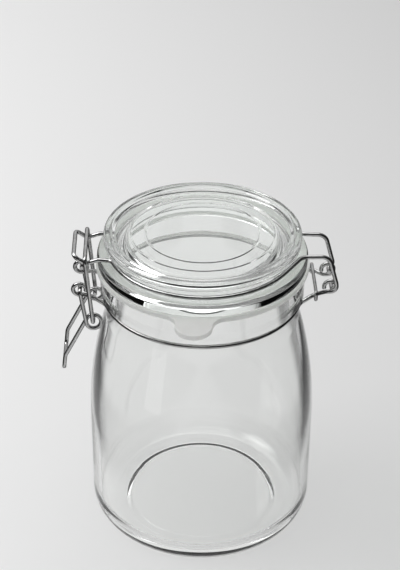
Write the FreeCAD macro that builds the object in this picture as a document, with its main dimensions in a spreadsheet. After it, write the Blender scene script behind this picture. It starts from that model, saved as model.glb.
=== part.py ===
import FreeCAD, Part
import math
import os
import Sketcher
from FreeCAD import Placement, Rotation, Vector

# A round glass storage jar with a wire clasp lid. Millimetres, +Z up, origin at the centre of
# the underside. The hinge is on +X, the clasp on -X, and the seal's pull tab points to -Y.

doc = FreeCAD.newDocument("ClaspJar")
sheet = doc.addObject("Spreadsheet::Sheet", "Sizes")

DRIVING_SIZES = [
    # the jar
    ("body_radius", 56.0, "outside radius of the body"),
    ("mouth_height", 144.4, "height of the sealing face"),
    ("shoulder_start", 58.2, "height where the straight wall ends"),
    ("neck_radius", 46.3, "outside radius of the groove for the neck wire"),
    ("neck_sweep", 30.0, "radius that turns the shoulder into the neck"),
    ("neck_straight", 4.108087, "height of the straight neck under the collar"),
    ("glass_wall", 4.0, "thickness of the jar's wall"),
    ("floor_thickness", 6.0, "thickness of the jar's floor"),
    ("base_round", 12.0, "outside radius at the foot of the wall"),
    ("foot_width", 5.0, "width of the ring that the jar stands on"),
    ("punt_rise", 1.8, "rise of the underside inside the foot ring"),
    ("punt_slope", 3.0, "width of the slope between the foot ring and the raised part"),
    ("collar_width", 2.7, "how far the collar stands out of the neck"),
    ("collar_depth", 13.2, "height of the collar"),
    ("collar_slope", 1.35, "height of the slope under the collar"),
    ("collar_round", 1.6, "rounding of the collar's upper edge"),
    ("mouth_round", 1.2, "rounding of the mouth's inner edge"),
    # the seal
    ("seal_thickness", 2.5, "thickness of the rubber ring"),
    ("seal_overhang", 1.8, "how far the rubber ring stands outside the collar"),
    ("seal_gap", 0.5, "how far the rubber ring's hole stands outside the mouth"),
    ("tab_reach", 13.8, "how far the pull tab stands out of the ring"),
    ("tab_round", 8.6, "radius of the pull tab's end"),
    ("tab_fillet", 7.0, "radius at the root of the pull tab"),
    ("tab_angle", -95.4, "direction of the pull tab, degrees about Z"),
    # the lid
    ("lid_height", 16.1, "height of the lid above the seal"),
    ("lid_rim_overhang", 0.5, "how far the lid's upper rim stands outside the neck"),
    ("lid_skirt_inset", 0.7, "how far the lid's lower flange stays inside the rubber ring"),
    ("lid_skirt_height", 5.6, "height of the lid's lower flange"),
    ("lid_rim_height", 5.2, "height of the lid's upper rim"),
    ("lid_rim_width", 5.5, "width of the lid's upper rim"),
    ("lid_rim_rise", 1.2, "rise of the rim above the lid's disc"),
    ("lid_rim_round", 1.6, "rounding of the rim's upper edges"),
    ("lid_edge_round", 1.0, "rounding of the lid's lower edges"),
    ("lid_skirt_round", 2.0, "rounding of the flange's upper edge"),
    ("lid_groove_fall", 0.2, "fall of the groove's two faces towards the outside"),
    ("lid_disc_thickness", 5.6, "thickness of the lid's disc"),
    ("lid_recess_slope", 2.3, "how far the wall of the hollow under the lid leans in"),
    ("lid_plug_depth", 2.6, "how far the lid's ring reaches into the mouth"),
    ("lid_plug_gap", 1.2, "space between the lid's ring and the mouth"),
    ("lid_plug_width", 2.2, "width of the foot of the lid's ring"),
    ("lid_plug_round", 0.8, "rounding of the foot of the lid's ring"),
    ("lid_plug_draft", 0.4, "taper of the outside of the lid's ring"),
    ("lid_recess_round", 2.0, "rounding at the top of the hollow"),
    ("lid_line_inset", 7.0, "how far the outer raised line stays inside the rim"),
    ("lid_line_spacing", 7.1, "distance between the two raised lines on the disc"),
    ("lid_ring_rise", 0.35, "height of the raised lines"),
    ("lid_ring_width", 1.4, "width of the raised lines"),
    # the wires
    ("wire_diameter", 2.0, "diameter of the spring wire"),
    ("staple_diameter", 1.6, "diameter of the staple's wire"),
    ("seat_gap", 0.2, "space between a wire and the glass that carries it"),
    ("running_gap", 0.3, "space between two wires that move on each other"),
    ("pin_bend", 1.8, "bend radius where a wire turns into a pin"),
    ("pin_overrun", 1.6, "how far a pin stands past its eye"),
    ("eye_radius", 3.0, "centre-line radius of a neck wire's eye"),
    ("eye_lead", 2.0, "length of straight wire before an eye"),
    ("eye_spread", 10.0, "distance of the clasp eyes from the middle"),
    ("hinge_spread", 7.7, "distance of the hinge eyes from the middle"),
    ("hinge_sink", 0.8, "how far the hinge eyes hang below the clasp eyes"),
    ("clasp_reach", 12.3, "how far the clasp eyes stand outside the neck groove"),
    ("hinge_reach", 14.6, "how far the hinge eyes stand outside the neck groove"),
    ("neck_wire_drop", 1.2, "space between the collar and the neck wire"),
    ("neck_arm_rise", 4.4, "rise of the neck wire's arms above its ring"),
    ("neck_arm_spread", 11.3, "distance of the neck wire's arms from the middle"),
    ("neck_arm_start", 5.5, "distance outside the neck ring where an arm is up"),
    ("neck_lead", 3.5, "length of straight wire where the neck ring ends"),
    ("staple_place", 6.2, "distance of the staple outside the neck ring"),
    ("staple_gap", 0.25, "space between the staple and the neck wires"),
    ("lid_wire_inset", 1.3, "how far the lid wire sits inside the lid's rim"),
    ("lid_lead", 17.0, "length of straight wire where the lid ring turns to the hinge"),
    ("hinge_bow", 2.3, "how far the lid wire's arms bow out past their pins"),
    ("hinge_bow_rise", 2.1, "height of that bow above the pins"),
    ("hinge_shoulder", 2.2, "how far the arms' upper bends stand inboard of the pins"),
    ("hinge_arm_fall", 0.3, "fall of the arms from the lid ring to their upper bends"),
    ("nose_reach", 13.8, "how far the nose stands out of the lid's rim"),
    ("nose_seat", 5.4, "distance of the bail's seat from the nose's tip"),
    ("nose_slope", 6.0, "length of the slope from the ring down to the seat"),
    ("nose_lift", 2.0, "rise of the nose's tip above the lid wire's ring"),
    ("nose_dip", 2.0, "depth of the seat below the lid wire's ring"),
    ("nose_round", 2.6, "corner radius of the nose's tip"),
    ("nose_spread", 11.8, "distance of the nose's arms from the middle"),
    ("nose_lead", 3.5, "length of straight wire where the lid ring turns to the nose"),
    ("coil_radius", 3.5, "centre-line radius of the lever's coils"),
    ("coil_gap", 0.15, "space between the turns of a coil"),
    ("coil_drop", 17.1, "drop from the clasp eyes to the coils"),
    ("coil_inset", 6.4, "how far the coils stand inboard of the clasp eyes"),
    ("handle_spread", 11.0, "distance of the handle's arms from the middle"),
    ("handle_drop", 28.8, "drop from the coils to the handle's end"),
    ("handle_flare", 15.5, "how far the handle stands outboard of the coils"),
    ("handle_tip", 8.0, "length of the handle's straight tip"),
    ("handle_lean", 0.9, "how far the handle's tip leans outboard over that length"),
    ("handle_round", 3.2, "corner radius of the handle's end"),
    ("handle_bend", 6.0, "bend radius where the handle's tip begins"),
    ("bail_play", 3.75, "height of the bail's bar above the nose's seat"),
    ("bail_overrun", 0.6, "how far the bail's pins stand past the coils"),
    ("bail_lean", 0.5, "how far each leg of the bail leans in at its bar"),
    ("bail_round", 2.4, "corner radius of the bail's bar"),
]

# sizes that follow from the ones above, each a formula of the same sheet
FOLLOWING_SIZES = [
    ("collar_radius", "=neck_radius + collar_width", "outside radius of the collar under the seal"),
    ("seal_radius", "=collar_radius + seal_overhang", "outside radius of the rubber ring"),
    ("lid_radius", "=neck_radius + lid_rim_overhang", "outside radius of the lid's upper rim"),
    ("lid_skirt_radius", "=seal_radius - lid_skirt_inset", "outside radius of the lid's lower flange"),
    ("lid_ring_outer", "=lid_radius - lid_rim_width - lid_line_inset", "radius of the outer raised line"),
    ("lid_ring_inner", "=lid_ring_outer - lid_line_spacing", "radius of the inner raised line"),
    ("lid_plug_foot", "=neck_radius - glass_wall - lid_plug_gap - lid_plug_width",
     "inside radius of the foot of the lid's ring"),
    ("lid_recess_radius", "=lid_plug_foot - lid_recess_slope", "radius of the hollow under the lid"),
    ("shoulder_rise", "=mouth_height - collar_depth - collar_slope - neck_straight - shoulder_start",
     "height of the shoulder with its sweep into the neck"),
    ("shoulder_draw", "=body_radius - neck_radius", "how far the shoulder draws in"),
    ("shoulder_radius",
     "=(shoulder_rise * shoulder_rise + shoulder_draw * shoulder_draw) / (2 * shoulder_draw) - neck_sweep",
     "radius of the shoulder's long curve"),
]

for row, (alias, value, meaning) in enumerate(DRIVING_SIZES + FOLLOWING_SIZES, start=1):
    sheet.set(f"A{row}", meaning)
    sheet.set(f"B{row}", str(value))
    sheet.setAlias(f"B{row}", alias)
doc.recompute()


class Size:
    """A number together with the sheet formula that gives it."""

    def __init__(self, value, formula):
        self.value = value
        self.formula = formula

    def joined(self, other, sign, value):
        return Size(value, f"({self.formula} {sign} {as_size(other).formula})")

    def __add__(self, other):
        return self.joined(other, "+", self.value + as_size(other).value)

    def __sub__(self, other):
        return self.joined(other, "-", self.value - as_size(other).value)

    def __mul__(self, other):
        return self.joined(other, "*", self.value * as_size(other).value)

    def __truediv__(self, other):
        return self.joined(other, "/", self.value / as_size(other).value)

    def root(self):
        return Size(math.sqrt(self.value), f"sqrt({self.formula})")


def as_size(thing):
    return thing if isinstance(thing, Size) else Size(float(thing), repr(float(thing)))


def size(alias):
    return Size(float(sheet.get(alias)), f"Sizes.{alias}")


def number(alias):
    return float(sheet.get(alias))


# ---------------------------------------------------------------- sketches and turned pieces

def line(corner):
    return corner, None, 0


def curve(corner, radius, side):
    """An edge that ends at a corner as an arc; side 1 bulges to the right of its direction."""
    return corner, radius, side


def arc_middle(start, end, radius, side):
    chord = end - start
    half = chord.Length / 2
    sagitta = radius - math.sqrt(max(radius * radius - half * half, 0.0))
    normal = Vector(chord.y, -chord.x, 0).normalize()
    return (start + end) * 0.5 + normal * (sagitta * side)


def new_body(name):
    body = doc.addObject("PartDesign::Body", name)
    body.Label = name
    return body


def origin_plane(body, role):
    for feature in body.Origin.OriginFeatures:
        if feature.Role == role:
            return feature
    raise ValueError(role)


def new_sketch(body, name, role):
    sketch = body.newObject("Sketcher::SketchObject", name)
    sketch.AttachmentSupport = [(origin_plane(body, role), "")]
    sketch.MapMode = "FlatFace"
    return sketch


def add_arc(sketch, start, middle, end):
    """An arc through three points, drawn counterclockwise; also whether it runs forward."""
    forward = (middle - start).cross(end - middle).z > 0
    first, last = (start, end) if forward else (end, start)
    return sketch.addGeometry(Part.Arc(first, middle, last), False), forward


def bind(sketch, constraint, name, formula):
    index = sketch.addConstraint(constraint)
    sketch.renameConstraint(index, name)
    sketch.setExpression(f"Constraints.{name}", formula)


def pin_corner(sketch, edge, end, corner, tag):
    """Place one end of an edge at its radius and height, as formulas of the sheet."""
    across, up = corner
    if across.value == 0:
        sketch.addConstraint(Sketcher.Constraint("PointOnObject", edge, end, -2))
    else:
        place = Sketcher.Constraint("DistanceX", -1, 1, edge, end, across.value)
        bind(sketch, place, f"across_{tag}", across.formula)
    if up.value == 0:
        sketch.addConstraint(Sketcher.Constraint("PointOnObject", edge, end, -1))
    else:
        place = Sketcher.Constraint("DistanceY", -1, 1, edge, end, up.value)
        bind(sketch, place, f"up_{tag}", up.formula)


def draw_outline(sketch, edges):
    """A closed outline from edges that each run on from the one before."""
    corners = [tuple(as_size(part) for part in edge[0]) for edge in edges]
    ends = []
    for index, (corner, radius, side) in enumerate(edges):
        start = Vector(corners[index - 1][0].value, corners[index - 1][1].value, 0)
        end = Vector(corners[index][0].value, corners[index][1].value, 0)
        if radius is None:
            edge = sketch.addGeometry(Part.LineSegment(start, end), False)
            ends.append((edge, 1, 2))
            continue
        radius = as_size(radius)
        edge, forward = add_arc(sketch, start, arc_middle(start, end, radius.value, side), end)
        ends.append((edge, 1, 2) if forward else (edge, 2, 1))
        rounding = Sketcher.Constraint("Radius", edge, radius.value)
        bind(sketch, rounding, f"round_{index}", radius.formula)
    for index, (edge, first, last) in enumerate(ends):
        following = ends[(index + 1) % len(ends)]
        sketch.addConstraint(Sketcher.Constraint("Coincident", edge, last, following[0], following[1]))
        pin_corner(sketch, edge, last, corners[index], index)


def turned(name, edges):
    """A body turned about Z from an outline of radius and height."""
    body = new_body(name)
    sketch = new_sketch(body, name + "_outline", "XZ_Plane")
    draw_outline(sketch, edges)
    doc.recompute()
    turn = body.newObject("PartDesign::Revolution", name + "_turned")
    turn.Profile = sketch
    turn.ReferenceAxis = (sketch, ["V_Axis"])
    turn.Angle = 360
    body.Tip = turn
    doc.recompute()
    return body


def jar_edges():
    body = size("body_radius")
    wall = size("glass_wall")
    neck = size("neck_radius")
    top = size("mouth_height")
    start = size("shoulder_start")
    long_curve = size("shoulder_radius")
    short_curve = size("neck_sweep")
    collar = size("collar_radius")
    base = size("base_round")
    floor = size("floor_thickness")
    collar_round = size("collar_round")
    mouth_round = size("mouth_round")
    foot_outer = body - base
    foot_inner = foot_outer - size("foot_width")
    # the shoulder and the neck sweep meet on the line between their centres
    run = neck + short_curve - body + long_curve
    reach = long_curve + short_curve
    climb = (reach * reach - run * run).root()
    share = long_curve / reach
    centre = body - long_curve
    neck_start = start + climb
    meet = (centre + run * share, start + climb * share)
    inner_share = (long_curve - wall) / reach
    inner_meet = (centre + run * inner_share, start + climb * inner_share)
    collar_foot = top - size("collar_depth")
    inner_round = base - wall * 0.5
    inner_floor = body - wall - inner_round
    return [
        line((0, size("punt_rise"))),
        line((foot_inner - size("punt_slope"), size("punt_rise"))),
        line((foot_inner, 0)),
        line((foot_outer, 0)),
        curve((body, base), base, 1),
        line((body, start)),
        curve(meet, long_curve, 1),
        curve((neck, neck_start), short_curve, -1),
        line((neck, collar_foot - size("collar_slope"))),
        line((collar, collar_foot)),
        line((collar, top - collar_round)),
        curve((collar - collar_round, top), collar_round, 1),
        line((neck - wall + mouth_round, top)),
        curve((neck - wall, top - mouth_round), mouth_round, 1),
        line((neck - wall, neck_start)),
        curve(inner_meet, short_curve + wall, 1),
        curve((body - wall, start), long_curve - wall, -1),
        line((body - wall, floor + inner_round)),
        curve((inner_floor, floor), inner_round, -1),
        line((0, floor)),
    ]


def lid_edges():
    seat = size("mouth_height") + size("seal_thickness")
    top = seat + size("lid_height")
    disc = top - size("lid_rim_rise")
    rim = size("lid_radius")
    rim_inner = rim - size("lid_rim_width")
    rim_foot = top - size("lid_rim_height")
    rim_round = size("lid_rim_round")
    edge = size("lid_edge_round")
    groove = rim - size("lid_wire_inset") - size("wire_diameter") - size("seat_gap")
    fall = size("lid_groove_fall")
    skirt = size("lid_skirt_radius")
    skirt_round = size("lid_skirt_round")
    skirt_top = seat + size("lid_skirt_height")
    underside = disc - size("lid_disc_thickness")
    recess = size("lid_recess_radius")
    recess_round = size("lid_recess_round")
    plug = size("neck_radius") - size("glass_wall") - size("lid_plug_gap")
    plug_foot = seat - size("lid_plug_depth")
    plug_side = plug - size("lid_plug_draft")
    plug_round = size("lid_plug_round")
    half_line = size("lid_ring_width") / 2
    edges = [line((0, disc))]
    for radius in (size("lid_ring_inner"), size("lid_ring_outer")):
        edges.append(line((radius - half_line, disc)))
        edges.append(line((radius, disc + size("lid_ring_rise"))))
        edges.append(line((radius + half_line, disc)))
    edges += [
        line((rim_inner, disc)),
        line((rim_inner + rim_round, top)),
        line((rim - rim_round, top)),
        curve((rim, top - rim_round), rim_round, -1),
        line((rim, rim_foot + edge)),
        curve((rim - edge, rim_foot), edge, -1),
        line((groove, rim_foot - fall)),
        line((groove, skirt_top + fall)),
        line((skirt - skirt_round, skirt_top)),
        curve((skirt, skirt_top - skirt_round), skirt_round, -1),
        line((skirt, seat + edge)),
        curve((skirt - edge, seat), edge, -1),
        line((plug, seat)),
        line((plug_side, plug_foot + plug_round)),
        curve((plug_side - plug_round, plug_foot), plug_round, -1),
        line((plug - size("lid_plug_width"), plug_foot)),
        line((recess, underside - recess_round)),
        curve((recess - recess_round, underside), recess_round, 1),
        line((0, underside)),
    ]
    return edges


def seal_body():
    """The rubber ring with its pull tab, drawn with the tab along +X and then turned."""
    name = "seal_ring"
    outer = number("seal_radius")
    reach = number("tab_reach")
    tip = number("tab_round")
    root = number("tab_fillet")
    centre = outer + reach - tip
    swing = ((outer + root) ** 2 + centre**2 - (tip + root) ** 2) / (2 * (outer + root) * centre)
    angle = math.acos(swing)
    fillet_centre = Vector((outer + root) * math.cos(angle), (outer + root) * math.sin(angle), 0)
    tip_centre = Vector(centre, 0, 0)
    on_ring = fillet_centre * (outer / (outer + root))
    on_tip = tip_centre + (fillet_centre - tip_centre) * (tip / (tip + root))
    between = fillet_centre - (fillet_centre - (on_ring + on_tip) * 0.5).normalize() * root

    body = new_body(name)
    sketch = new_sketch(body, name + "_outline", "XY_Plane")

    def flip(point):
        return Vector(point.x, -point.y, 0)

    ring = add_arc(sketch, on_ring, Vector(-outer, 0, 0), flip(on_ring))[0]
    lower = add_arc(sketch, flip(on_ring), flip(between), flip(on_tip))[0]
    nose = add_arc(sketch, flip(on_tip), Vector(outer + reach, 0, 0), on_tip)[0]
    upper = add_arc(sketch, on_tip, between, on_ring)[0]
    bore = number("neck_radius") - number("glass_wall") + number("seal_gap")
    hole = sketch.addGeometry(Part.Circle(Vector(0, 0, 0), Vector(0, 0, 1), bore), False)

    def nearest_end(edge, point):
        start = sketch.Geometry[edge].StartPoint
        end = sketch.Geometry[edge].EndPoint
        return 1 if (start - point).Length < (end - point).Length else 2

    meetings = [(ring, lower, flip(on_ring)), (lower, nose, flip(on_tip)),
                (nose, upper, on_tip), (upper, ring, on_ring)]
    for first, second, point in meetings:
        ends = (nearest_end(first, point), nearest_end(second, point))
        sketch.addConstraint(Sketcher.Constraint("Tangent", first, ends[0], second, ends[1]))
    sketch.addConstraint(Sketcher.Constraint("Coincident", ring, 3, -1, 1))
    sketch.addConstraint(Sketcher.Constraint("Coincident", hole, 3, -1, 1))
    sketch.addConstraint(Sketcher.Constraint("PointOnObject", nose, 3, -1))
    bind(sketch, Sketcher.Constraint("Radius", ring, outer), "ring_radius", "Sizes.seal_radius")
    bind(sketch, Sketcher.Constraint("Radius", nose, tip), "tab_radius", "Sizes.tab_round")
    bind(sketch, Sketcher.Constraint("Radius", lower, root), "lower_root", "Sizes.tab_fillet")
    bind(sketch, Sketcher.Constraint("Radius", upper, root), "upper_root", "Sizes.tab_fillet")
    bind(sketch, Sketcher.Constraint("DistanceX", -1, 1, nose, 3, centre), "tab_place",
         "Sizes.seal_radius + Sizes.tab_reach - Sizes.tab_round")
    bind(sketch, Sketcher.Constraint("Radius", hole, bore), "hole_radius",
         "Sizes.neck_radius - Sizes.glass_wall + Sizes.seal_gap")
    doc.recompute()
    pad = body.newObject("PartDesign::Pad", name + "_pad")
    pad.Profile = sketch
    pad.setExpression("Length", "Sizes.seal_thickness")
    body.Tip = pad
    body.Placement = Placement(Vector(0, 0, 0), Rotation(Vector(0, 0, 1), number("tab_angle")))
    body.setExpression("Placement.Base.z", "Sizes.mouth_height")
    doc.recompute()
    return body


# ---------------------------------------------------------------- bent wires

def bent(points, radii):
    """Edges along a run of points, with a tangent arc at each inner point."""
    edges = []
    here = points[0]
    for before, corner, after, radius in zip(points, points[1:], points[2:], radii):
        arriving = (corner - before).normalize()
        leaving = (after - corner).normalize()
        turn = arriving.getAngle(leaving)
        if turn < 0.001:
            continue
        room = 0.49 * min((corner - before).Length, (after - corner).Length)
        radius = min(radius, room / math.tan(turn / 2))
        setback = radius * math.tan(turn / 2)
        start = corner - arriving * setback
        end = corner + leaving * setback
        inward = (leaving - arriving).normalize()
        middle = corner + inward * (radius / math.cos(turn / 2) - radius)
        if (start - here).Length > 1e-6:
            edges.append(Part.LineSegment(here, start).toShape())
        edges.append(Part.Arc(start, middle, end).toShape())
        here = end
    edges.append(Part.LineSegment(here, points[-1]).toShape())
    return edges


def mirrored(points):
    """The same points on the other side of the middle, in the opposite order."""
    return [Vector(point.x, -point.y, point.z) for point in reversed(points)]


def drawn(edges, diameter):
    """A round wire along edges that run on from each other."""
    path = Part.Wire(edges)
    first = edges[0]
    start = first.valueAt(first.FirstParameter)
    heading = first.tangentAt(first.FirstParameter)
    section = Part.Wire([Part.Circle(start, heading, diameter / 2).toShape()])
    return path.makePipeShell([section], True, False)


def wire_object(name, edges, diameter):
    piece = doc.addObject("Part::Feature", name)
    piece.Label = name
    piece.Shape = drawn(edges, diameter)
    piece.Placement = Placement()
    return piece


def ring_exit(radius, spread, lead):
    """Where a ring turns into a straight lead that ends at a distance from the middle."""
    angle = math.atan2(lead, radius) + math.asin(spread / math.hypot(radius, lead))
    touch = Vector(radius * math.cos(angle), radius * math.sin(angle), 0)
    corner = touch + Vector(math.sin(angle), -math.cos(angle), 0) * lead
    return touch, corner


def placed(point, side, half, height):
    """A point of the first quadrant moved to a side of X and a half of Y, at a height."""
    return Vector(point.x * side, point.y * half, height)


def eye_arc(centre, side, start_angle, sweep):
    """Part of an eye in an XZ plane; angles run from +X towards +Z, mirrored for side -1."""
    radius = number("eye_radius")

    def at(angle):
        turn = math.radians(angle)
        return centre + Vector(side * radius * math.cos(turn), 0, radius * math.sin(turn))

    return Part.Arc(at(start_angle), at(start_angle + sweep / 2), at(start_angle + sweep)).toShape()


WIRE = number("wire_diameter")
SEAT = number("mouth_height") + number("seal_thickness")
PLAY = number("running_gap")
EYE_SWEEP = 290  # degrees of wire in an eye
COIL_STEPS = 10
BAIL_KNEE = 0.62  # share of a bail leg below its slight bend
BAIL_KNEE_BEND = 20.0
# bend radii, in the order in which the wire runs
NECK_BENDS = [3.0, 6.0, 6.0]
HINGE_BENDS = [3.0, 5.0, 6.0]
NOSE_BENDS = [4.0, 3.0, 1.6]

LID_RING_RADIUS = number("lid_radius") - number("lid_wire_inset") - WIRE / 2
GROOVE_FOOT = SEAT + number("lid_skirt_height") + number("lid_groove_fall")
LID_RING_HEIGHT = GROOVE_FOOT + number("seat_gap") + WIRE / 2
NECK_RING_RADIUS = number("neck_radius") + number("seat_gap") + WIRE / 2
NECK_RING_HEIGHT = number("mouth_height") - number("collar_depth") - number("neck_wire_drop") - WIRE / 2
ARM_HEIGHT = NECK_RING_HEIGHT + number("neck_arm_rise")
EYE_HEIGHT = ARM_HEIGHT + number("eye_radius")
CLASP_EYE = Vector(-number("neck_radius") - number("clasp_reach"), 0, EYE_HEIGHT)
HINGE_EYE = Vector(number("neck_radius") + number("hinge_reach"), 0, EYE_HEIGHT - number("hinge_sink"))
COIL_CENTRE = CLASP_EYE + Vector(number("coil_inset"), 0, -number("coil_drop"))

# each pin bears on the side of its eye or coil that the closed clasp pulls it to
LEVER_PULL = Vector(0.5, 0, 0.85).normalize()
LID_PULL = Vector(0.85, 0, -0.5).normalize()
BAIL_PULL = Vector(-0.2, 0, 1).normalize()
LEVER_PIN = CLASP_EYE + LEVER_PULL * (number("eye_radius") - WIRE - PLAY)
LID_PIN = HINGE_EYE + LID_PULL * (number("eye_radius") - WIRE - PLAY)
BAIL_PIN = COIL_CENTRE + BAIL_PULL * (number("coil_radius") - WIRE - PLAY)

# distances of the wires from the middle plane, from the inside outwards
HANDLE_SPREAD = number("handle_spread")
LEG_SPREAD = HANDLE_SPREAD + WIRE + number("coil_gap")
BAIL_SPREAD = LEG_SPREAD + WIRE + PLAY
LID_ARM_SPREAD = number("hinge_spread") + WIRE + PLAY

NOSE_TIP = Vector(-number("lid_radius") - number("nose_reach"), 0, LID_RING_HEIGHT + number("nose_lift"))
NOSE_SEAT = Vector(NOSE_TIP.x + number("nose_seat"), 0, LID_RING_HEIGHT - number("nose_dip"))
BAIL_BAR = NOSE_SEAT + Vector(0, 0, number("bail_play"))


def neck_half(name, half):
    """Half of the neck ring, with an arm and an eye at each end."""
    spread = number("neck_arm_spread")
    touch, corner = ring_exit(NECK_RING_RADIUS, spread + WIRE / 2, number("neck_lead"))
    runs = {}
    eyes = [(-1, CLASP_EYE, number("eye_spread")), (1, HINGE_EYE, number("hinge_spread"))]
    for side, eye, eye_spread in eyes:
        foot = eye.z - number("eye_radius")
        points = [
            placed(touch, side, half, NECK_RING_HEIGHT),
            placed(corner, side, half, NECK_RING_HEIGHT),
            Vector(side * (NECK_RING_RADIUS + number("neck_arm_start")), half * spread, ARM_HEIGHT),
            Vector(eye.x - side * number("eye_lead"), half * eye_spread, foot),
            Vector(eye.x, half * eye_spread, foot),
        ]
        loop = eye_arc(Vector(eye.x, half * eye_spread, eye.z), side, -90, EYE_SWEEP)
        runs[side] = (points, bent(points, NECK_BENDS), loop)
    left_points, left_run, left_loop = runs[-1]
    right_points, right_run, right_loop = runs[1]
    middle = Vector(0, half * NECK_RING_RADIUS, NECK_RING_HEIGHT)
    ring = Part.Arc(left_points[0], middle, right_points[0]).toShape()
    edges = Part.sortEdges([left_loop] + left_run + [ring] + right_run + [right_loop])[0]
    return wire_object(name, edges, WIRE)


def lid_wire():
    """One wire: hinge pins, arms, the ring under the lid's rim, and the nose of the clasp."""
    arm = -LID_ARM_SPREAD
    touch, corner = ring_exit(LID_RING_RADIUS, LID_ARM_SPREAD + WIRE / 4, number("lid_lead"))
    hinge = [
        Vector(LID_PIN.x, -(number("hinge_spread") - WIRE / 2 - number("pin_overrun")), LID_PIN.z),
        Vector(LID_PIN.x, arm, LID_PIN.z),
        Vector(LID_PIN.x + number("hinge_bow"), arm, LID_PIN.z + number("hinge_bow_rise")),
        Vector(LID_PIN.x - number("hinge_shoulder"), arm, LID_RING_HEIGHT - number("hinge_arm_fall")),
        placed(corner, 1, -1, LID_RING_HEIGHT),
        placed(touch, 1, -1, LID_RING_HEIGHT),
    ]
    arm = -number("nose_spread")
    touch, corner = ring_exit(LID_RING_RADIUS, number("nose_spread") + WIRE / 2, number("nose_lead"))
    nose = [
        placed(touch, -1, -1, LID_RING_HEIGHT),
        placed(corner, -1, -1, LID_RING_HEIGHT),
        Vector(NOSE_SEAT.x + number("nose_slope"), arm, LID_RING_HEIGHT),
        Vector(NOSE_SEAT.x, arm, NOSE_SEAT.z),
        Vector(NOSE_TIP.x, arm, NOSE_TIP.z),
    ]
    front = Part.Arc(hinge[-1], Vector(0, -LID_RING_RADIUS, LID_RING_HEIGHT), nose[0]).toShape()
    rear_nose = mirrored(nose)[-1]
    rear_hinge = mirrored(hinge)[0]
    rear = Part.Arc(rear_nose, Vector(0, LID_RING_RADIUS, LID_RING_HEIGHT), rear_hinge).toShape()
    hinge_bends = [number("pin_bend")] + HINGE_BENDS
    nose_bends = NOSE_BENDS + [number("nose_round")]
    edges = bent(hinge, hinge_bends) + [front]
    edges += bent(nose + mirrored(nose), nose_bends + list(reversed(nose_bends)))
    edges += [rear] + bent(mirrored(hinge), list(reversed(hinge_bends)))
    return wire_object("lid_wire", edges, WIRE)


def hinge_staple():
    """A short wire that lies over both neck wires and hooks under them."""
    thin = number("staple_diameter")
    offset = (WIRE + thin) / 2 + number("staple_gap")
    place = NECK_RING_RADIUS + number("staple_place")
    inner = number("neck_arm_spread")
    half = [
        Vector(place, -inner, ARM_HEIGHT - offset),
        Vector(place, -(inner + offset), ARM_HEIGHT - offset),
        Vector(place, -(inner + offset), ARM_HEIGHT + offset),
    ]
    bends = [thin * 0.75] * 4
    return wire_object("hinge_staple", bent(half + mirrored(half), bends), thin)


def touch_angle(point, way):
    """Where a straight wire from a point meets a coil, as an angle from +X towards +Z."""
    out = point - COIL_CENTRE
    towards = math.degrees(math.atan2(out.z, out.x))
    return (towards + way * math.degrees(math.acos(number("coil_radius") / out.Length))) % 360


def coil_points(handle_start):
    """The turn of the front coil, from the leg round below to the handle's arm."""
    radius = number("coil_radius")
    first = touch_angle(LEVER_PIN, 1)
    last = touch_angle(handle_start, -1) + 360
    stretch = radius / math.cos(math.radians((last - first) / COIL_STEPS / 2))
    points = []
    for step in range(COIL_STEPS + 1):
        share = step / COIL_STEPS
        angle = math.radians(first + (last - first) * share)
        reach = radius if step in (0, COIL_STEPS) else stretch
        spread = LEG_SPREAD + (HANDLE_SPREAD - LEG_SPREAD) * share
        around = Vector(math.cos(angle), 0, math.sin(angle)) * reach
        points.append(COIL_CENTRE + around + Vector(0, -spread, 0))
    return points


def clasp_lever():
    """One wire: a pin in each clasp eye, a leg to each coil, and the handle between them."""
    end = COIL_CENTRE - Vector(number("handle_flare"), 0, number("handle_drop"))
    start = end + Vector(number("handle_lean"), 0, number("handle_tip"))
    out = Vector(0, -HANDLE_SPREAD, 0)
    coil = coil_points(start)
    front = [
        LEVER_PIN - Vector(0, number("eye_spread") - WIRE / 2 - number("pin_overrun"), 0),
        LEVER_PIN - Vector(0, LEG_SPREAD, 0),
    ]
    front += coil + [start + out, end + out]
    bends = [number("pin_bend")] + [number("coil_radius")] * len(coil)
    bends += [number("handle_bend"), number("handle_round")]
    return wire_object("clasp_lever", bent(front + mirrored(front), bends + list(reversed(bends))), WIRE)


def clasp_bail():
    """A loop from coil to coil whose bar lies in the seats of the nose."""
    knee = BAIL_PIN + (BAIL_BAR - BAIL_PIN) * BAIL_KNEE
    front = [
        BAIL_PIN - Vector(0, HANDLE_SPREAD - WIRE / 2 - number("bail_overrun"), 0),
        BAIL_PIN - Vector(0, BAIL_SPREAD, 0),
        knee - Vector(0, BAIL_SPREAD, 0),
        BAIL_BAR - Vector(0, BAIL_SPREAD - number("bail_lean"), 0),
    ]
    bends = [number("pin_bend"), BAIL_KNEE_BEND, number("bail_round")]
    return wire_object("clasp_bail", bent(front + mirrored(front), bends + list(reversed(bends))), WIRE)


pieces = [
    turned("jar_glass", jar_edges()),
    turned("lid_glass", lid_edges()),
    seal_body(),
    lid_wire(),
    neck_half("neck_wire_front", -1),
    neck_half("neck_wire_rear", 1),
    hinge_staple(),
    clasp_lever(),
    clasp_bail(),
]
doc.recompute()

for thing in doc.Objects:
    if "Invalid" in thing.State or "Error" in thing.State:
        raise RuntimeError(f"{thing.Name} failed: {thing.State}")
for piece in pieces:
    if piece.Shape.isNull() or not piece.Shape.isValid() or len(piece.Shape.Solids) != 1:
        raise RuntimeError(f"{piece.Label} has no single valid solid")

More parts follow.
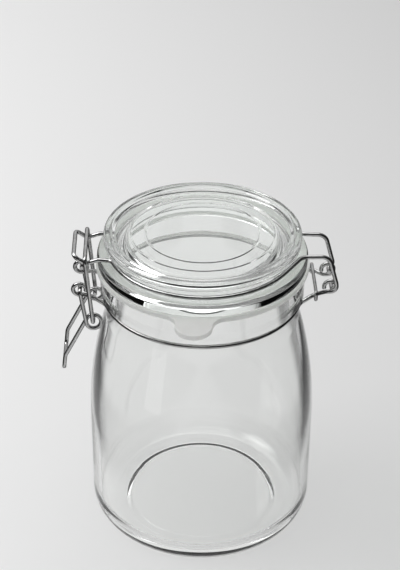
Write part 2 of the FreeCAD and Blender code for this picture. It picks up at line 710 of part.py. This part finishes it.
os.makedirs("parts", exist_ok=True)
for piece in pieces:
    piece.Shape.exportStep(f"parts/{piece.Label}.step")
    box = piece.Shape.BoundBox
    print(f"{piece.Label}: {piece.Shape.Volume:.0f} mm3, x {box.XMin:.1f}..{box.XMax:.1f}, "
          f"y {box.YMin:.1f}..{box.YMax:.1f}, z {box.ZMin:.1f}..{box.ZMax:.1f}")
print("lever pin", LEVER_PIN, "bail pin", BAIL_PIN)
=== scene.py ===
import math

import bmesh
import bpy
from mathutils import Matrix, Vector


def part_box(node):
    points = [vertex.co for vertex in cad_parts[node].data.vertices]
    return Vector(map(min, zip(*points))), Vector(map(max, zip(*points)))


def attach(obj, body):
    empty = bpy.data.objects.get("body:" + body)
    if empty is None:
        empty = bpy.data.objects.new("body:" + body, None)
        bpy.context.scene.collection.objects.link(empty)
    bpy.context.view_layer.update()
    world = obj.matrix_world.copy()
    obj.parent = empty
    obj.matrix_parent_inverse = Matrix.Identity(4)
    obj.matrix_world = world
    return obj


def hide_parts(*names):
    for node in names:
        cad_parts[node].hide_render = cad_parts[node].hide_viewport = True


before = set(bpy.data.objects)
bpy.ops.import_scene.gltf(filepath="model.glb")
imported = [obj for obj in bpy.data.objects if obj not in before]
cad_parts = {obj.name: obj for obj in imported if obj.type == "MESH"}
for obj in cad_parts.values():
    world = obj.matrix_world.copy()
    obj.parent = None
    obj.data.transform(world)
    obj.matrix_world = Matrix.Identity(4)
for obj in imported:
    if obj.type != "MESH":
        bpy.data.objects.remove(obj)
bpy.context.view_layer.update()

MM = 0.001

# ---------------------------------------------------------------- sizes, in millimetres
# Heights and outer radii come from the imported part; the rest of the two glass sections is here.

GLASS_WALL = 4.0
FLOOR_THICKNESS = 6.0
BASE_ROUND = 12.0
FOOT_WIDTH = 5.0
PUNT_RISE = 1.8
PUNT_SLOPE = 3.0
PUNT_ROUND = 3.0
FOOT_ROUND = 1.2
SHOULDER_START = 58.2
SHOULDER_RADIUS = 210.0
NECK_RADIUS = 46.3
NECK_SWEEP = 30.0
COLLAR_RADIUS = 49.0
COLLAR_DEPTH = 13.2
COLLAR_SLOPE = 1.35
COLLAR_ROUND = 1.6
COLLAR_FOOT_ROUND = 0.5
NECK_FOOT_ROUND = 0.8
MOUTH_ROUND = 1.2

RIM_RADIUS = 46.8
RIM_HEIGHT = 5.2
RIM_WIDTH = 5.5
RIM_RISE = 1.2
RIM_ROUND = 1.6
DISH_ROUND = 0.8
SKIRT_HEIGHT = 5.6
SKIRT_ROUND = 2.0
EDGE_ROUND = 1.0
GROOVE_RADIUS = 43.3
GROOVE_FALL = 0.2
GROOVE_ROUND = 0.4
SEAT_ROUND = 0.3
PLUG_RADIUS = 41.1
PLUG_DRAFT = 0.4
PLUG_WIDTH = 2.2
PLUG_DEPTH = 2.6
PLUG_ROUND = 0.8
PLUG_INNER_ROUND = 0.5
RECESS_RADIUS = 36.6
RECESS_ROUND = 2.0
DISC_THICKNESS = 5.6
DISC_LINES = (27.2, 34.3)
DISC_LINE_RISE = 0.35
DISC_LINE_WIDTH = 1.4
DISC_LINE_ROUND = 0.5

BEADS = 256
BEAD_INNER = 43.9
BEAD_OUTER = 46.2
BEAD_DEPTH = 0.5
BEAD_LEAD = 0.3
BEAD_MARGIN = 0.05
BEAD_BAND = 1.0

JAR_STEPS = 288
SHOULDER_STEPS = 24
SWEEP_STEPS = 10
BASE_STEPS = 12
MERGE_DISTANCE = 0.0005
FLAT_ANGLE = 0.5
SEAL_THINNED = 0.01


# ---------------------------------------------------------------- outlines turned about Z

class Outline:
    """Half of a section, drawn corner by corner in millimetres, ready to turn about Z."""

    def __init__(self, radius, height):
        self.mesh = bmesh.new()
        start = bmesh.ops.create_vert(self.mesh, co=(radius, 0, height))
        self.tip = start["vert"][0]
        self.rounds = []

    def line(self, radius, height, rounding=0.0, segments=4):
        """A straight edge to a corner that is rounded off later."""
        self.tip = bmesh.ops.extrude_vert_indiv(self.mesh, verts=[self.tip])["verts"][0]
        self.tip.co = (radius, 0, height)
        if rounding:
            self.rounds.append((self.tip, rounding, segments))

    def arc(self, radius, height, degrees, steps):
        """An arc about a centre; positive angles turn from +X towards +Z."""
        turn = bmesh.ops.spin(
            self.mesh, geom=[self.tip], cent=(radius, 0, height), axis=(0, -1, 0),
            angle=math.radians(degrees), steps=steps, use_duplicate=False)
        self.tip = [part for part in turn["geom_last"] if isinstance(part, bmesh.types.BMVert)][0]

    def round_corners(self):
        for corner, rounding, segments in self.rounds:
            before, after = [edge.other_vert(corner).co - corner.co for edge in corner.link_edges]
            turn = math.pi - before.angle(after)
            bmesh.ops.bevel(
                self.mesh, geom=[corner], offset=rounding * math.tan(turn / 2), offset_type="OFFSET",
                affect="VERTICES", segments=segments, profile=0.5, material=-1, clamp_overlap=True)

    def turned(self, steps):
        """The closed shell that the outline sweeps in a full turn."""
        self.round_corners()
        mesh = self.mesh
        bmesh.ops.spin(
            mesh, geom=mesh.verts[:] + mesh.edges[:], cent=(0, 0, 0), axis=(0, 0, 1),
            angle=math.tau, steps=steps, use_merge=True, use_duplicate=False)
        bmesh.ops.remove_doubles(mesh, verts=mesh.verts[:], dist=MERGE_DISTANCE)
        bmesh.ops.recalc_face_normals(mesh, faces=mesh.faces[:])
        return mesh


def finished(mesh, name, scale=1.0):
    """A smooth-shaded object from a mesh under construction."""
    bmesh.ops.scale(mesh, vec=(scale,) * 3, verts=mesh.verts[:])
    data = bpy.data.meshes.new(name)
    mesh.to_mesh(data)
    mesh.free()
    data.polygons.foreach_set("use_smooth", [True] * len(data.polygons))
    piece = bpy.data.objects.new(name, data)
    bpy.context.scene.collection.objects.link(piece)
    return piece


def weighted(piece):
    """Keeps flat faces flat beside their rounded edges."""
    shading = piece.modifiers.new("flat faces", "WEIGHTED_NORMAL")
    shading.weight = 80
    shading.keep_sharp = False
    return piece


def jar_outline():
    """The jar's section: underside, barrel, shoulder, neck and collar, then back down inside."""
    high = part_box("jar_glass")[1]
    body = high.x / MM
    top = high.z / MM
    foot_outer = body - BASE_ROUND
    foot_inner = foot_outer - FOOT_WIDTH
    run = NECK_RADIUS + NECK_SWEEP - body + SHOULDER_RADIUS
    climb = math.sqrt((SHOULDER_RADIUS + NECK_SWEEP) ** 2 - run**2)
    lean = math.degrees(math.asin(climb / (SHOULDER_RADIUS + NECK_SWEEP)))
    neck_start = SHOULDER_START + climb
    collar_foot = top - COLLAR_DEPTH
    bore = NECK_RADIUS - GLASS_WALL
    inner_round = BASE_ROUND - GLASS_WALL / 2
    inner_body = body - GLASS_WALL
    draw = Outline(0, PUNT_RISE)
    draw.line(foot_inner - PUNT_SLOPE, PUNT_RISE, PUNT_ROUND)
    draw.line(foot_inner, 0, FOOT_ROUND)
    draw.line(foot_outer, 0)
    draw.arc(foot_outer, BASE_ROUND, 90, BASE_STEPS)
    draw.line(body, SHOULDER_START)
    draw.arc(body - SHOULDER_RADIUS, SHOULDER_START, lean, SHOULDER_STEPS)
    draw.arc(NECK_RADIUS + NECK_SWEEP, neck_start, -lean, SWEEP_STEPS)
    draw.line(NECK_RADIUS, collar_foot - COLLAR_SLOPE, NECK_FOOT_ROUND)
    draw.line(COLLAR_RADIUS, collar_foot, COLLAR_FOOT_ROUND)
    draw.line(COLLAR_RADIUS, top, COLLAR_ROUND, 8)
    draw.line(bore, top, MOUTH_ROUND, 6)
    draw.line(bore, neck_start)
    draw.arc(bore + GLASS_WALL + NECK_SWEEP, neck_start, lean, SWEEP_STEPS)
    draw.arc(body - SHOULDER_RADIUS, SHOULDER_START, -lean, SHOULDER_STEPS)
    draw.line(inner_body, FLOOR_THICKNESS + inner_round)
    draw.arc(inner_body - inner_round, FLOOR_THICKNESS + inner_round, -90, BASE_STEPS)
    draw.line(0, FLOOR_THICKNESS)
    return draw


def lid_outline():
    """The lid's section: sunk disc, rim, wire groove and skirt, then the plug underneath."""
    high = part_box("lid_glass")[1]
    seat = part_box("seal_ring")[1].z / MM
    top = high.z / MM
    skirt = high.x / MM
    disc = top - RIM_RISE
    rim_inner = RIM_RADIUS - RIM_WIDTH
    rim_foot = top - RIM_HEIGHT
    skirt_top = seat + SKIRT_HEIGHT
    underside = disc - DISC_THICKNESS
    half = DISC_LINE_WIDTH / 2
    draw = Outline(0, disc)
    for radius in DISC_LINES:
        draw.line(radius - half, disc, DISC_LINE_ROUND, 3)
        draw.line(radius, disc + DISC_LINE_RISE, DISC_LINE_ROUND, 3)
        draw.line(radius + half, disc, DISC_LINE_ROUND, 3)
    draw.line(rim_inner, disc, DISH_ROUND)
    draw.line(rim_inner + RIM_ROUND, top, DISH_ROUND)
    for radius in (BEAD_INNER - BEAD_LEAD, BEAD_INNER, (BEAD_INNER + RIM_RADIUS - RIM_ROUND) / 2):
        draw.line(radius, top)
    draw.line(RIM_RADIUS, top, RIM_ROUND, 8)
    draw.line(RIM_RADIUS, rim_foot, EDGE_ROUND, 6)
    draw.line(GROOVE_RADIUS, rim_foot - GROOVE_FALL, GROOVE_ROUND, 3)
    draw.line(GROOVE_RADIUS, skirt_top + GROOVE_FALL, GROOVE_ROUND, 3)
    draw.line(skirt, skirt_top, SKIRT_ROUND, 8)
    draw.line(skirt, seat, EDGE_ROUND, 6)
    draw.line(PLUG_RADIUS, seat, SEAT_ROUND, 3)
    draw.line(PLUG_RADIUS - PLUG_DRAFT, seat - PLUG_DEPTH, PLUG_ROUND, 5)
    draw.line(PLUG_RADIUS - PLUG_WIDTH, seat - PLUG_DEPTH, PLUG_INNER_ROUND, 3)
    draw.line(RECESS_RADIUS, underside, RECESS_ROUND, 6)
    draw.line(0, underside)
    return draw


def cut_beads(mesh, top):
    """Sinks every second spoke of the rim's outer top edge, which leaves a ring of beads."""
    step = math.tau / (2 * BEADS)
    sunk = []
    for point in mesh.verts:
        radius = math.hypot(point.co.x, point.co.y)
        spoke = round(math.atan2(point.co.y, point.co.x) / step)
        on_band = BEAD_INNER - BEAD_MARGIN < radius < BEAD_OUTER and point.co.z > top - BEAD_BAND
        if on_band and spoke % 2:
            sunk.append(point)
    bmesh.ops.translate(mesh, vec=(0, 0, -BEAD_DEPTH), verts=sunk)


def from_node(node, name, edge_angle, edge_round, segments, thinned=0.0):
    """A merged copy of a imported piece: sharp edges rounded over, top and bottom drawn in."""
    mesh = bmesh.new()
    mesh.from_mesh(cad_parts[node].data)
    bmesh.ops.scale(mesh, vec=(1 / MM,) * 3, verts=mesh.verts[:])
    bmesh.ops.remove_doubles(mesh, verts=mesh.verts[:], dist=MERGE_DISTANCE)
    bmesh.ops.dissolve_limit(
        mesh, angle_limit=math.radians(FLAT_ANGLE), verts=mesh.verts[:], edges=mesh.edges[:],
        use_dissolve_boundaries=False)
    middle = sum(corner.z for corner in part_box(node)) / 2 / MM
    sharp = [edge for edge in mesh.edges
             if len(edge.link_faces) == 2 and edge.calc_face_angle() > math.radians(edge_angle)]
    bmesh.ops.bevel(
        mesh, geom=sharp, offset=edge_round, offset_type="OFFSET", affect="EDGES",
        segments=segments, profile=0.5, material=-1, clamp_overlap=True)
    for point in mesh.verts:
        point.co.z += thinned if point.co.z < middle else -thinned
    piece = finished(mesh, name, MM)
    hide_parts(node)
    return weighted(piece)


# ---------------------------------------------------------------- node maths

class Link:
    """An output socket on which arithmetic adds Math nodes."""

    def __init__(self, graph, socket):
        self.graph = graph
        self.socket = socket

    def __add__(self, other):
        return self.graph.maths("ADD", self, other)

    def __sub__(self, other):
        return self.graph.maths("SUBTRACT", self, other)

    def __rsub__(self, other):
        return self.graph.maths("SUBTRACT", other, self)

    def __mul__(self, other):
        return self.graph.maths("MULTIPLY", self, other)

    def __truediv__(self, other):
        return self.graph.maths("DIVIDE", self, other)

    __radd__ = __add__
    __rmul__ = __mul__


class Graph:
    """The nodes of one material or of the world."""

    def __init__(self, owner):
        owner.use_nodes = True
        self.tree = owner.node_tree
        self.tree.nodes.clear()

    def node(self, kind, settings=None, sockets=None, output=0):
        made = self.tree.nodes.new("ShaderNode" + kind)
        for name, value in (settings or {}).items():
            if name == "stops":
                ramp = made.color_ramp
                while len(ramp.elements) < len(value):
                    ramp.elements.new(1.0)
                for element, (place, shade) in zip(ramp.elements, value):
                    element.position = place
                    element.color = (shade, shade, shade, 1)
            else:
                setattr(made, name, value)
        for name, value in (sockets or {}).items():
            socket = made.inputs[name]
            if isinstance(value, Link):
                self.tree.links.new(value.socket, socket)
            else:
                socket.default_value = value
        return Link(self, made.outputs[output]) if made.outputs else made

    def maths(self, operation, first, second=0.0):
        return self.node("Math", {"operation": operation}, {0: first, 1: second})

    def mixed(self, share, first, second):
        """A colour between two colours."""
        return self.node("Mix", {"data_type": "RGBA"}, {0: share, 6: first, 7: second}, output=2)

    def ramp(self, value, *stops):
        return self.node("ValToRGB", {"stops": stops}, {0: value})

    def sibling(self, link, output):
        """Another output of the node that a link comes from."""
        return Link(self, link.socket.node.outputs[output])

    def path(self, ray):
        """1 for one kind of ray, 0 for the others."""
        return self.sibling(self.node("LightPath"), ray)

    def noise(self, place, scale, detail=2.0, roughness=0.5):
        return self.node("TexNoise", sockets={
            "Vector": place, "Scale": scale, "Detail": detail, "Roughness": roughness})


def grey(level):
    return (level, level, level, 1)


def material(name):
    made = bpy.data.materials.new(name)
    return made, Graph(made)


def object_place(graph):
    return graph.node("TexCoord", output=3)


GLASS_IOR = 1.5
PAINTED_EDGE_SHADE_FADE = ((0.7, 0), (0.92, 1))


def glass(name, colour, painted_edge_shade, clear_colour, wave_scale, wave_depth, smudge):
    """Pressed glass: faint waves and smudges, painted shade at its edges (a darker tint mixed in at
    grazing angles), light shadows.
    """
    made, graph = material(name)
    place = object_place(graph)
    waves = graph.noise(place, wave_scale, 1.0)
    ripple = graph.node("Bump", sockets={
        "Strength": 1.0, "Distance": wave_depth * MM, "Height": waves})
    patches = graph.noise(place, 38, 4.0, 0.6)
    dull = graph.ramp(patches, (0.52, 0), (0.75, 1)) * smudge
    body = graph.node("BsdfPrincipled", sockets={
        "Base Color": colour, "Roughness": dull, "Transmission Weight": 1.0, "IOR": GLASS_IOR,
        "Normal": ripple})
    # Painted shade: a darker copy of the glass, mixed in where the surface is seen edge-on, so that
    # every rim looks dark.
    painted_dark_edge_glass = graph.node("BsdfPrincipled", sockets={
        "Base Color": painted_edge_shade, "Roughness": dull, "Transmission Weight": 1.0, "IOR": GLASS_IOR,
        "Normal": ripple})
    facing = graph.node("LayerWeight", sockets={"Blend": 0.5}, output=1)
    body = graph.node("MixShader", sockets={
        0: graph.ramp(facing, *PAINTED_EDGE_SHADE_FADE), 1: body, 2: painted_dark_edge_glass})
    clear = graph.node("BsdfTransparent", sockets={"Color": clear_colour})
    see_through = graph.maths("MAXIMUM", graph.path("Is Shadow Ray"), graph.path("Is Diffuse Ray"))
    surface = graph.node("MixShader", sockets={0: see_through, 1: body, 2: clear})
    graph.node("OutputMaterial", sockets={"Surface": surface})
    return made


def polished_steel(name):
    """Hard-drawn wire: bright, with fine drawing marks and duller patches."""
    made, graph = material(name)
    place = object_place(graph)
    grain = graph.noise(place, 2600, 3.0, 0.6)
    blotches = graph.noise(place, 240, 4.0, 0.6)
    colour = graph.mixed(graph.ramp(blotches, (0.35, 0), (0.7, 1)), grey(0.42), grey(0.58))
    shine = 0.13 + graph.ramp(blotches, (0.4, 0), (0.8, 1)) * 0.12 + grain * 0.05
    marks = graph.node("Bump", sockets={"Strength": 0.25, "Distance": 0.02 * MM, "Height": grain})
    surface = graph.node("BsdfPrincipled", sockets={
        "Base Color": colour, "Metallic": 1.0, "Roughness": shine, "Specular Tint": grey(0.12),
        "Normal": marks})
    graph.node("OutputMaterial", sockets={"Surface": surface})
    return made


def milky_rubber(name):
    """Translucent silicone rubber with a fine bloom."""
    made, graph = material(name)
    place = object_place(graph)
    bloom = graph.noise(place, 150, 5.0, 0.6)
    grain = graph.noise(place, 1900, 2.0)
    colour = graph.mixed(bloom, (0.82, 0.82, 0.81, 1), (0.9, 0.9, 0.89, 1))
    marks = graph.node("Bump", sockets={"Strength": 0.2, "Distance": 0.04 * MM, "Height": grain})
    skin = graph.node("BsdfPrincipled", sockets={
        "Base Color": colour, "Roughness": 0.34 + bloom * 0.12, "IOR": 1.41,
        "Transmission Weight": 0.55, "Normal": marks})
    through = graph.node("BsdfTranslucent", sockets={"Color": colour, "Normal": marks})
    surface = graph.node("MixShader", sockets={0: 0.3, 1: skin, 2: through})
    graph.node("OutputMaterial", sockets={"Surface": surface})
    return made


def glow(name, level):
    made, graph = material(name)
    light = graph.node("Emission", sockets={"Color": grey(1), "Strength": level})
    graph.node("OutputMaterial", sockets={"Surface": light})
    return made


# ---------------------------------------------------------------- the camera

lid_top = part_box("lid_glass")[1].z


CAMERA_LENS = 96.0
CAMERA_SENSOR = 36.0
CAMERA_ROLL, CAMERA_TILT, CAMERA_TURN = 0.45, 56.8, -1.5
CAMERA_OFFSET = Vector((-0.001338, -0.02544, 0.71604))
AIM_DROP = 0.0008


def add_camera():
    """A long lens that looks down on the lid."""
    data = bpy.data.cameras.new("camera")
    data.lens = CAMERA_LENS
    data.sensor_width = CAMERA_SENSOR
    camera = bpy.data.objects.new("camera", data)
    bpy.context.scene.collection.objects.link(camera)
    turn = (Matrix.Rotation(math.radians(CAMERA_TURN), 4, "Z")
            @ Matrix.Rotation(math.radians(CAMERA_TILT), 4, "X")
            @ Matrix.Rotation(math.radians(CAMERA_ROLL), 4, "Z"))
    place = Vector((0, 0, lid_top - AIM_DROP)) + turn @ CAMERA_OFFSET
    camera.matrix_world = Matrix.Translation(place) @ turn
    bpy.context.scene.camera = camera


add_camera()

# ---------------------------------------------------------------- the pieces

# Each glass's second colour is its painted edge shade.
clear_glass = glass("clear_glass", (0.975, 0.98, 0.975, 1), grey(0.3), grey(0.97), 22, 0.25, 0.03)
lid_green = glass("lid_glass_green", (0.975, 0.992, 0.979, 1), (0.55, 0.62, 0.56, 1),
                  (0.96, 0.98, 0.965, 1), 30, 0.12, 0.02)
steel = polished_steel("steel_wire")
rubber = milky_rubber("seal_rubber")

jar = weighted(finished(jar_outline().turned(JAR_STEPS), "jar_body", MM))
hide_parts("jar_glass")

lid_mesh = lid_outline().turned(2 * BEADS)
cut_beads(lid_mesh, lid_top / MM)
lid = weighted(finished(lid_mesh, "lid_body", MM))
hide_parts("lid_glass")

seal = from_node("seal_ring", "seal_body", 50, 0.45, 3, SEAL_THINNED)

looks = [
    (jar, clear_glass, "clear_glass", "jar"),
    (lid, lid_green, "lid_glass", "jar"),
    (seal, rubber, "seal_rubber", "jar"),
]
wires = {
    "lid_wire": "jar", "neck_wire_front": "jar", "neck_wire_rear": "jar", "hinge_staple": "jar",
    "clasp_lever": "lever", "clasp_bail": "bail",
}
for node, body in wires.items():
    looks.append((from_node(node, node + "_drawn", 60, 0.2, 3), steel, "steel_wire", body))

for piece, finish, slot, body in looks:
    piece.data.materials.clear()
    piece.data.materials.append(finish)
    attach(piece, body)

# ---------------------------------------------------------------- the studio

FLOOR_SIZE = 8.0
# Painted shade on the floor: dark bands that only rays leaving glass see beside the jar, and dark that
# only mirrored rays see away from it.
PAINTED_SHADE_REACH = 0.2
PAINTED_SIDE_SHADE_LEVEL = 0.1
PAINTED_SIDE_SHADE_FADE = ((0.42, 0), (0.5, 1), (0.8, 1), (0.95, 0))
PAINTED_SHADE_DEPTH_FADE = ((0.45, 1), (0.7, 0))
PAINTED_MIRROR_SHADE_FADE = ((0.5, 0), (1.0, 1))
PAINTED_MIRROR_SHADE = 0.95
# Floor tones of a painted light falloff: lighter at -X, where the key lamp stands, and darker at +X.
FLOOR_PAINTED_LIT_LEFT, FLOOR_PAINTED_DIM_RIGHT = 0.85, 0.7

LOW_LIGHT = 1.0
LOW_LIGHT_TURNS = (38.6, 55.0)
LOW_LIGHT_NEAR, LOW_LIGHT_FAR = 0.28, 1.5
LOW_LIGHT_HEIGHT = 0.001

BACKDROP_LEVEL = 0.8
DIFFUSE_LEVEL = 0.45
THROUGH_LEVEL = 0.3
DARK_LEVEL = 0.03
# azimuth from +Y towards +X, height, inner and outer half angle, strength
SOFT_BOXES = [
    (0, 24, 28, 52, 0.8),
    (-40, 72, 20, 30, 1.2),
]


def card(name, finish, corners):
    """A flat sheet from its corners, in metres."""
    mesh = bmesh.new()
    points = [bmesh.ops.create_vert(mesh, co=corner)["vert"][0] for corner in corners]
    bmesh.ops.contextual_create(mesh, geom=points)
    data = bpy.data.meshes.new(name)
    mesh.to_mesh(data)
    mesh.free()
    data.materials.append(finish)
    sheet = bpy.data.objects.new(name, data)
    bpy.context.scene.collection.objects.link(sheet)
    return sheet


def add_floor():
    """A pale table with painted light: paler at the clasp's side, a painted falloff of the key lamp.

    And painted shade: rays that leave glass see it darker at the jar's two sides, and mirrored
    rays see it dark away from the jar.
    """
    made, graph = material("floor_paint_with_painted_light")
    place = object_place(graph)
    split = graph.node("SeparateXYZ", sockets={0: place})
    # Painted light: the floor's colour fades from light at -X to darker at +X, a painted falloff of the
    # key lamp.
    painted_light_falloff = graph.ramp(split * 2 + 0.5, (0.1, 0), (0.9, 1))
    floor_tone_with_painted_falloff = graph.mixed(painted_light_falloff, grey(FLOOR_PAINTED_LIT_LEFT), grey(FLOOR_PAINTED_DIM_RIGHT))
    # Painted shade, seen only by transmission and glossy rays: darker beside the jar and far from it.
    across = graph.maths("ABSOLUTE", split)
    along = graph.maths("ABSOLUTE", graph.sibling(split, 1))
    painted_side_band = graph.ramp(across / PAINTED_SHADE_REACH, *PAINTED_SIDE_SHADE_FADE)
    beside = painted_side_band * graph.ramp(along / PAINTED_SHADE_REACH * 0.5, *PAINTED_SHADE_DEPTH_FADE) * (1 - PAINTED_SIDE_SHADE_LEVEL)
    painted_far_shade = graph.ramp(across / PAINTED_SHADE_REACH, *PAINTED_MIRROR_SHADE_FADE) * PAINTED_MIRROR_SHADE
    through = graph.path("Is Transmission Ray")
    dark = through * beside + graph.path("Is Glossy Ray") * (1 - through) * painted_far_shade
    surface = graph.node("BsdfDiffuse", sockets={"Color": graph.mixed(dark, floor_tone_with_painted_falloff, grey(0))})
    graph.node("OutputMaterial", sockets={"Surface": surface})
    half = FLOOR_SIZE / 2
    return card("floor", made, [(-half, -half, 0), (half, -half, 0), (half, half, 0), (-half, half, 0)])


def add_low_light():
    """A low strip light that only reflections show, in front of the jar on the clasp's side."""
    first, last = LOW_LIGHT_TURNS
    outline = [(first, LOW_LIGHT_NEAR), (first, LOW_LIGHT_FAR),
               (last, LOW_LIGHT_FAR), (last, LOW_LIGHT_NEAR)]
    corners = []
    for turn, reach in outline:
        turn = math.radians(turn)
        corners.append((-reach * math.sin(turn), -reach * math.cos(turn), LOW_LIGHT_HEIGHT))
    strip = card("low_light", glow("low_light", LOW_LIGHT), corners)
    strip.visible_camera = strip.visible_diffuse = False
    strip.visible_transmission = strip.visible_shadow = False


def add_lamp(name, place, target, size, power):
    data = bpy.data.lights.new(name, "AREA")
    data.shape = "RECTANGLE"
    data.size, data.size_y = size
    data.energy = power
    lamp = bpy.data.objects.new(name, data)
    bpy.context.scene.collection.objects.link(lamp)
    lamp.location = place
    lamp.rotation_euler = (Vector(target) - Vector(place)).to_track_quat("-Z", "Y").to_euler()


def add_world():
    """A dark studio with soft boxes and a pale backdrop; pale all round for the eye."""
    world = bpy.data.worlds.new("studio")
    bpy.context.scene.world = world
    graph = Graph(world)
    way = graph.node("TexCoord", output=0)
    level = DARK_LEVEL
    for azimuth, height, inner, outer, strength in SOFT_BOXES:
        flat = math.cos(math.radians(height))
        aim = Vector((
            math.sin(math.radians(azimuth)) * flat,
            math.cos(math.radians(azimuth)) * flat,
            math.sin(math.radians(height))))
        near = graph.node("VectorMath", {"operation": "DOT_PRODUCT"}, {0: way, 1: aim}, output=1)
        edges = (math.cos(math.radians(outer)), 0), (math.cos(math.radians(inner)), 1)
        level = graph.ramp(near, *edges) * strength + level
    seen = graph.path("Is Camera Ray")
    spread = graph.path("Is Diffuse Ray")
    level = graph.maths("MAXIMUM", level, graph.path("Is Transmission Ray") * THROUGH_LEVEL)
    level = level * (1 - seen) * (1 - spread) + seen * BACKDROP_LEVEL + spread * DIFFUSE_LEVEL
    light = graph.node("Background", sockets={"Color": grey(1), "Strength": level})
    graph.node("OutputWorld", sockets={"Surface": light})


add_floor()
add_low_light()
add_world()
add_lamp("key", (-1.1, 0.1, 1.3), (0, 0, 0.08), (0.9, 0.9), 12)
add_lamp("overhead", (-0.1, 0.25, 1.6), (0, 0, 0), (1.4, 1.4), 6)

bpy.context.scene.view_settings.view_transform = "Standard"
